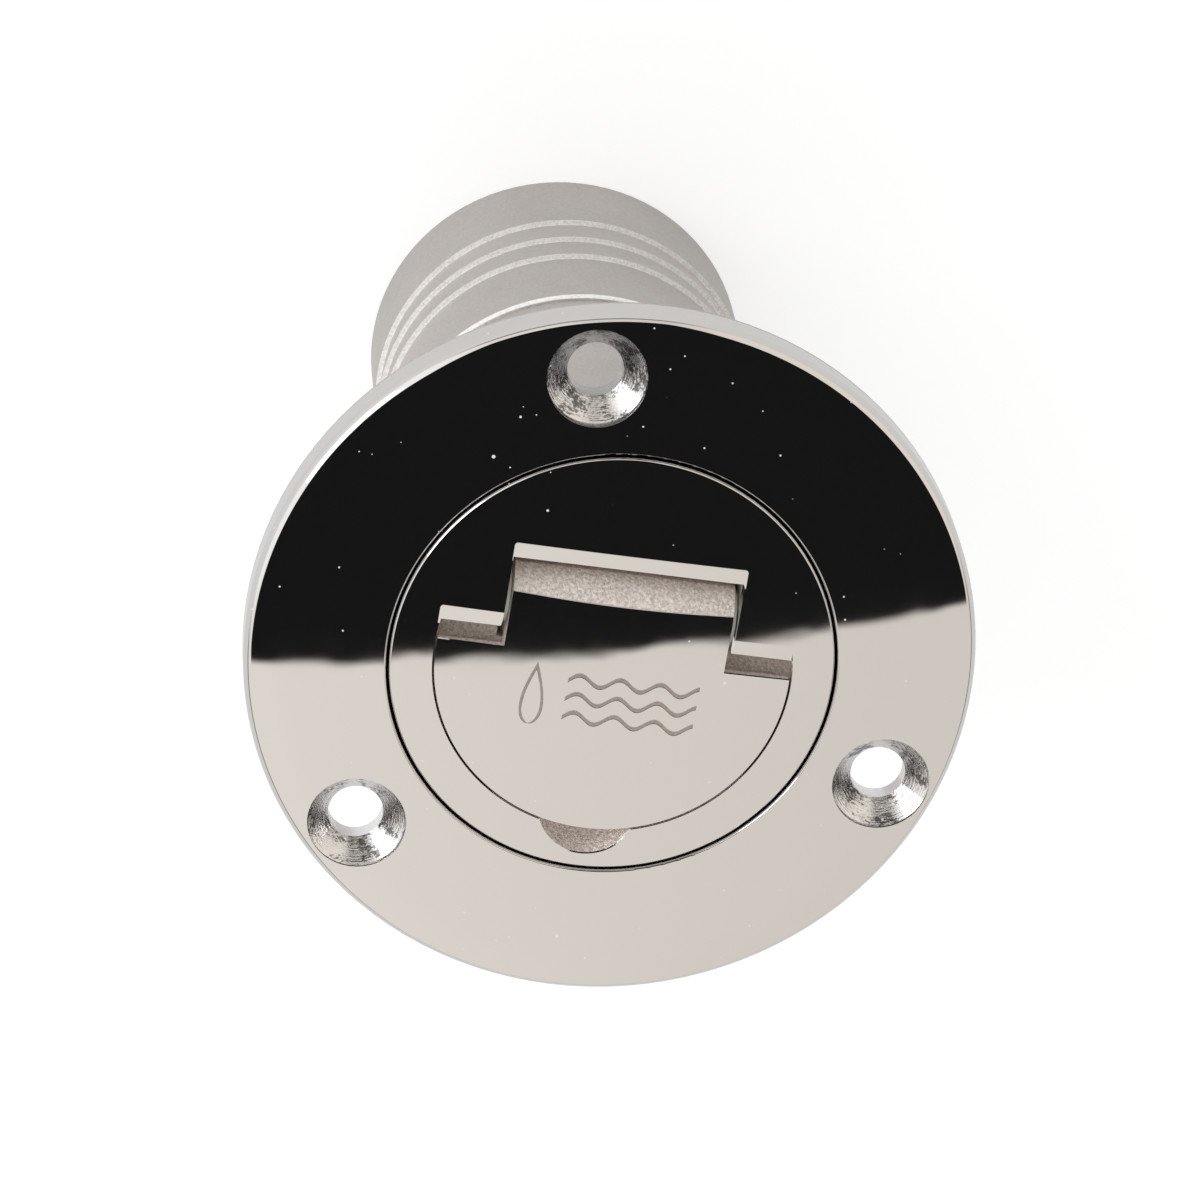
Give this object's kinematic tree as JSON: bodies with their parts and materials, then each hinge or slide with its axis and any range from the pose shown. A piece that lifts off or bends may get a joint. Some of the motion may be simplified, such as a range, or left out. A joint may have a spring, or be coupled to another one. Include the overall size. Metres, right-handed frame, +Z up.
{
  "type": "deck fill cap",
  "caption": "Flush round deck plate with a barbed hose tail and a screw cap whose half-round handle folds up to turn it; a chain inside keeps the cap.",
  "frame": {"origin": "centre of the deck plate's underside, where it sits on the deck", "axes": "+Z up out of the deck along the fill's axis, +Y towards the first deck screw hole, the hose tail points to -Z"},
  "size_m": [0.09, 0.09, 0.1077],
  "materials": {
    "polished_steel": "mirror-polished cast stainless steel; the hose tail of the same casting is left satin as cast",
    "drawn_steel": "fine drawn stainless steel",
    "spring_steel": "bright spring steel",
    "chain_steel": "tumbled stainless wire",
    "bonding_brass": "plain brass",
    "seal_rubber": "matt black nitrile",
    "nylon": "natural nylon"
  },
  "bodies": {
    "deck_plate": {"deck_body": "polished_steel", "bonding_screw": "bonding_brass", "bonding_washer": "spring_steel"},
    "tether_swivel": {"swivel_bail": "chain_steel"},
    "screw_cap": {"cap": "polished_steel", "handle_pin": "drawn_steel", "handle_washers": "nylon", "handle_spring": "spring_steel", "cap_oring": "seal_rubber", "tether_screw": "drawn_steel", "swivel_washer": "nylon"},
    "flip_handle": {"handle": "polished_steel"},
    "chain_link_1": {"chain_link_1": "chain_steel"},
    "chain_link_2": {"chain_link_2": "chain_steel"},
    "chain_link_3": {"chain_link_3": "chain_steel"},
    "chain_link_4": {"chain_link_4": "chain_steel"},
    "chain_link_5": {"chain_link_5": "chain_steel"},
    "chain_link_6": {"chain_link_6": "chain_steel"},
    "toggle": {"toggle_bar": "chain_steel"}
  },
  "joints": [
    {"name": "cap_lift", "type": "slide", "parent": "deck_plate", "child": "tether_swivel", "axis": [0, 0, 1], "range_m": [0, 0.018]},
    {"name": "cap_turn", "type": "hinge", "parent": "tether_swivel", "child": "screw_cap", "pos_m": [0, 0, 0], "axis": [0, 0, 1], "range_deg": [0, 2160]},
    {"name": "handle_flip", "type": "hinge", "parent": "screw_cap", "child": "flip_handle", "pos_m": [0.00131, 0.00616, 0.0019], "axis": [-0.9781, 0.2079, 0], "range_deg": [0, 90]},
    {"name": "link_1_swing", "type": "hinge", "parent": "tether_swivel", "child": "chain_link_1", "pos_m": [0, 0, -0.0182], "axis": [1, 0, 0], "range_deg": [-3, 3]},
    {"name": "link_2_swing", "type": "hinge", "parent": "chain_link_1", "child": "chain_link_2", "pos_m": [0, 0, -0.0262], "axis": [0, 1, 0], "range_deg": [-3, 3]},
    {"name": "link_3_swing", "type": "hinge", "parent": "chain_link_2", "child": "chain_link_3", "pos_m": [0, 0, -0.0342], "axis": [1, 0, 0], "range_deg": [-3, 3]},
    {"name": "link_4_swing", "type": "hinge", "parent": "chain_link_3", "child": "chain_link_4", "pos_m": [0, 0, -0.0422], "axis": [0, 1, 0], "range_deg": [-3, 3]},
    {"name": "link_5_swing", "type": "hinge", "parent": "chain_link_4", "child": "chain_link_5", "pos_m": [0, 0, -0.0502], "axis": [1, 0, 0], "range_deg": [-3, 3]},
    {"name": "link_6_swing", "type": "hinge", "parent": "chain_link_5", "child": "chain_link_6", "pos_m": [0, 0, -0.0582], "axis": [0, 1, 0], "range_deg": [-3, 3]},
    {"name": "toggle_swing", "type": "hinge", "parent": "chain_link_6", "child": "toggle", "pos_m": [0, 0, -0.0662], "axis": [1, 0, 0], "range_deg": [-8, 8]}
  ],
  "couplings": [
    {"joint": "cap_lift", "follows": "cap_turn", "m_per_rad": 0.00047746}
  ]
}
